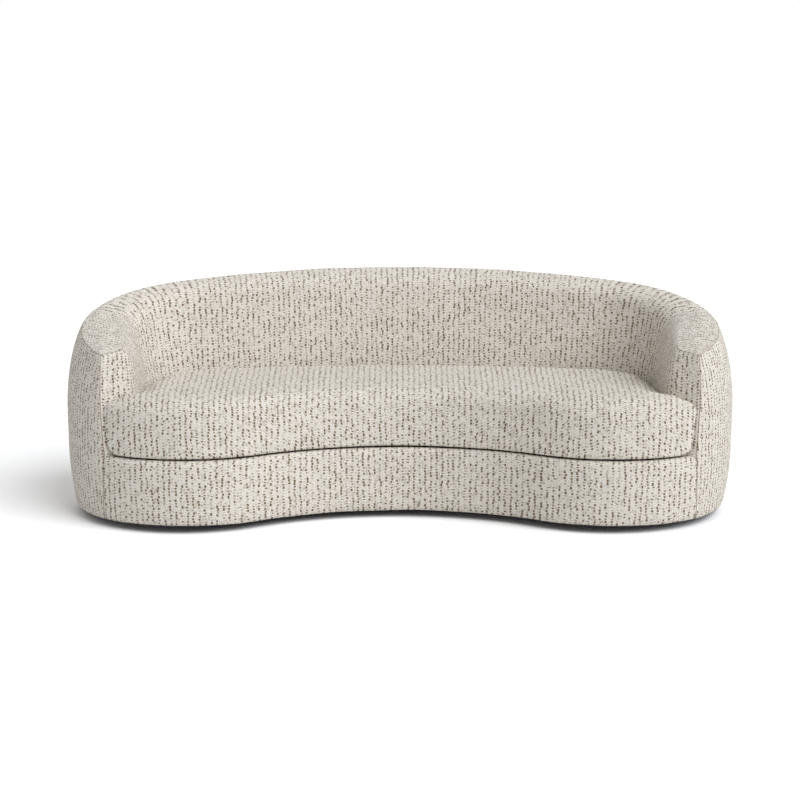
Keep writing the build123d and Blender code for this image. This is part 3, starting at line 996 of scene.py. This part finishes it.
def makeDeck():
    look = deckLook
    piece = makeObject(fillingCopy("deck_pad"), "seatDeck", lining, "sofa")
    evenSkin(piece, look["voxel"])

    def drawnOver(co, normal):
        if normal.z <= facesUp:
            return 0
        return look["cloth"] - look["slack"] * abs(noise.noise(co / look["slackSize"]))

    grow(piece, drawnOver)
    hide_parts("deck_pad", "deck_cloth")
    print("deck", len(piece.data.polygons), "faces")


makeDeck()

# Dust cover: thin cloth stapled under the bottom plate, slack over the plate's opening
dustLook = {"cut": 0.045, "opening": 0.19, "slack": 0.16, "sag": 0.005}


def insetAt(point):
    # how far a point lies in from the outline of the underside
    o = outlineAt(sofaShape["floorGap"])
    if abs(point.x) > o.end.x:
        return o.r - (Vector((abs(point.x), point.y)) - o.end).length
    behind = o.backR - (point.xy - Vector((0, o.backCentre))).length
    before = (point.xy - Vector((0, o.front - o.frontR))).length - o.frontR
    return min(behind, before)


def makeDustCover():
    look = dustLook
    low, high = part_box("dust_cover")
    bm = fillingCopy("dust_cover")
    for axis in (0, 1):
        across = Vector((1 - axis, axis, 0))
        for n in range(1, int((high[axis] - low[axis]) / look["cut"])):
            everything = bm.verts[:] + bm.edges[:] + bm.faces[:]
            spot = across * (low[axis] + n * look["cut"])
            bmesh.ops.bisect_plane(bm, geom=everything, plane_co=spot, plane_no=across)
    bm.normal_update()
    area = sum(face.calc_area() for face in bm.faces if face.normal.z < -facesUp)
    for v in bm.verts:
        v.co.z -= look["sag"] * eased((insetAt(v.co) - look["opening"]) / look["slack"])
    piece = makeObject(bm, "dustCover", lining, "sofa")
    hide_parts("dust_cover")
    print("dust cover", round(area, 3), "square metres")


makeDustCover()

# Plywood, timber and hardboard of the frame: dark, pale, stretch of the grain, roughness
woodLook = {
    "plywood": (colour(186, 152, 108), colour(222, 194, 152), (5, 60, 60), 0.6),
    "timber": (colour(190, 150, 96), colour(226, 192, 142), (3, 38, 38), 0.65),
    "hardboard": (colour(104, 72, 46), colour(150, 112, 78), (240, 240, 240), 0.7),
}
grainLook = {
    "grain": (1.0, 6.0, 0.65),
    "pores": 700,
    "poreShade": 0.2,
    "poreDepth": 0.4,
    "shades": (0.4, 0.75),
    "rougher": 0.2,
    "bump": 0.0003,
}


def woodFinish(slot):
    look = grainLook
    dark, pale, stretch, roughness = woodLook[slot]
    finish = Finish(slot, roughness)
    place = finish.place()
    grain = finish.grain(finish.stretched(place, stretch), *look["grain"])
    pore = finish.grain(place, look["pores"])
    share = (grain + pore * look["poreShade"]).rise(*look["shades"])
    finish.set("Base Color", finish.blend(share, dark, pale))
    finish.set("Roughness", roughness + grain * look["rougher"])
    finish.bump(grain + pore * look["poreDepth"], look["bump"])
    return finish.material


# Webbing, and the zip's tape and coil: dark, pale, width of the threads along and across
wovenLook = {
    "webbing": (colour(34, 34, 36), colour(82, 82, 86), 0.004, 0.0016),
    "zipTape": (colour(142, 132, 118), colour(190, 181, 166), 0.0008, 0.0008),
    "zipCoil": (colour(116, 106, 94), colour(178, 168, 152), 0.0016, 0.0016),
}
fuzzLook = {
    "scale": 1500,
    "thread": 0.4,
    "shades": (0.2, 0.9),
    "roughness": 0.85,
    "depth": 0.5,
    "bump": 0.0003,
}


def wovenFinish(name):
    # over-and-under threads from two crossed waves
    dark, pale, along, across = wovenLook[name]
    finish = Finish(name, fuzzLook["roughness"])
    place = finish.place()
    warp = (place.part(0) * (math.tau / along)).sine()
    weft = ((place.part(1) + place.part(2)) * (math.tau / across)).sine()
    thread = warp * weft
    fuzz = finish.grain(place, fuzzLook["scale"])
    share = (thread * fuzzLook["thread"] + fuzz).rise(*fuzzLook["shades"])
    finish.set("Base Color", finish.blend(share, dark, pale))
    finish.bump(thread + fuzz * fuzzLook["depth"], fuzzLook["bump"])
    return finish.material


footLook = {
    "dark": colour(20, 20, 20),
    "pale": colour(40, 40, 40),
    "grain": 900,
    "shades": (0.3, 0.7),
    "roughness": (0.4, 0.25),  # the least, and what the grain adds
    "bump": 0.0002,
}


def footFinish():
    look = footLook
    least, more = look["roughness"]
    finish = Finish("footPlastic", least)
    grain = finish.grain(finish.place(), look["grain"])
    finish.set("Base Color", finish.blend(grain.rise(*look["shades"]), look["dark"], look["pale"]))
    finish.set("Roughness", least + grain * more)
    finish.bump(grain, look["bump"])
    return finish.material


steelLook = {
    "dull": colour(140, 138, 134),
    "bright": colour(204, 202, 198),
    "brush": (1400, 90, 90),
    "grain": (1.0, 3.0),
    "shades": (0.3, 0.7),
    "roughness": (0.25, 0.25),
}


def steelFinish():
    look = steelLook
    least, more = look["roughness"]
    finish = Finish("platedSteel", least)
    brush = finish.grain(finish.stretched(finish.place(), look["brush"]), *look["grain"])
    finish.set("Base Color", finish.blend(brush.rise(*look["shades"]), look["dull"], look["bright"]))
    finish.set("Roughness", least + brush * more)
    finish.set("Metallic", 1)
    return finish.material


finishes = {slot: woodFinish(slot) for slot in woodLook}
finishes["webbing"] = wovenFinish("webbing")
finishes["foot_plastic"] = footFinish()
finishes["steel"] = steelFinish()
finishes["zip_cloth"] = wovenFinish("zipTape")
finishes["zip_plastic"] = wovenFinish("zipCoil")
for part in frame["record"]["subparts"]:
    if part["material_slot"] in finishes:
        frame["nodes"][part["node"]].data.materials[0] = finishes[part["material_slot"]]
print("finishes", len(finishes))

# Camera
cameraLook = {"place": (0, -5.331, 1.29), "pitch": 80, "lens": 69.75, "sensor": 36, "farEnd": 200}
camera = linkNew("camera", bpy.data.cameras.new("camera"))
camera.location = cameraLook["place"]
camera.rotation_euler = (math.radians(cameraLook["pitch"]), 0, 0)
camera.data.lens = cameraLook["lens"]
camera.data.sensor_width = cameraLook["sensor"]
camera.data.clip_end = cameraLook["farEnd"]
bpy.context.scene.camera = camera

# One broad lamp from the front right, and an even pale sky
lightLook = {
    "sun": 2.22,
    "tint": (0.98, 1, 1.03),
    "spread": 50,  # in degrees, as are the next two
    "around": 52,
    "up": 43,
    "sky": 0.48,
}
sun = linkNew("keyLight", bpy.data.lights.new("keyLight", "SUN"))
sun.data.energy = lightLook["sun"]
sun.data.color = lightLook["tint"]
sun.data.angle = math.radians(lightLook["spread"])
around = math.radians(lightLook["around"])
up = math.radians(lightLook["up"])
toLight = Vector((math.sin(around) * math.cos(up), -math.cos(around) * math.cos(up), math.sin(up)))
sun.rotation_euler = toLight.to_track_quat("Z", "Y").to_euler()


def seenDirectly(tree):
    # 1 for what the camera sees, also by reflection or through glass
    rays = ("Is Camera Ray", "Is Glossy Ray", "Is Transmission Ray")
    plain, glossy, through = [addNode(tree, "ShaderNodeLightPath", output=ray) for ray in rays]
    return plain.maths("MAXIMUM", plain, glossy.maths("MAXIMUM", glossy, through))


world = bpy.data.worlds.new("studio")
bpy.context.scene.world = world
world.use_nodes = True
sky = world.node_tree.nodes["Background"]
sky.inputs["Color"].default_value = (1, 1, 1, 1)
plug(world.node_tree, sky.inputs["Strength"], mix(lightLook["sky"], 1, seenDirectly(world.node_tree)))

# Pale floor, white to the camera
floorLook = {"lit": (0.86, 0.86, 0.86, 1), "seen": (1.2, 1.2, 1.2, 1), "half": 60}


def makeFloor():
    look = floorLook
    bm = bmesh.new()
    bmesh.ops.create_grid(bm, x_segments=1, y_segments=1, size=look["half"])
    floor = linkNew("floor", meshFrom(bm, "floor"))
    finish = Finish("paleFloor", 1.0)
    finish.set("Base Color", finish.blend(seenDirectly(finish.tree), look["lit"], look["seen"]))
    finish.set("Specular IOR Level", 0)
    floor.data.materials.append(finish.material)


makeFloor()
bpy.context.scene.view_settings.view_transform = "Standard"
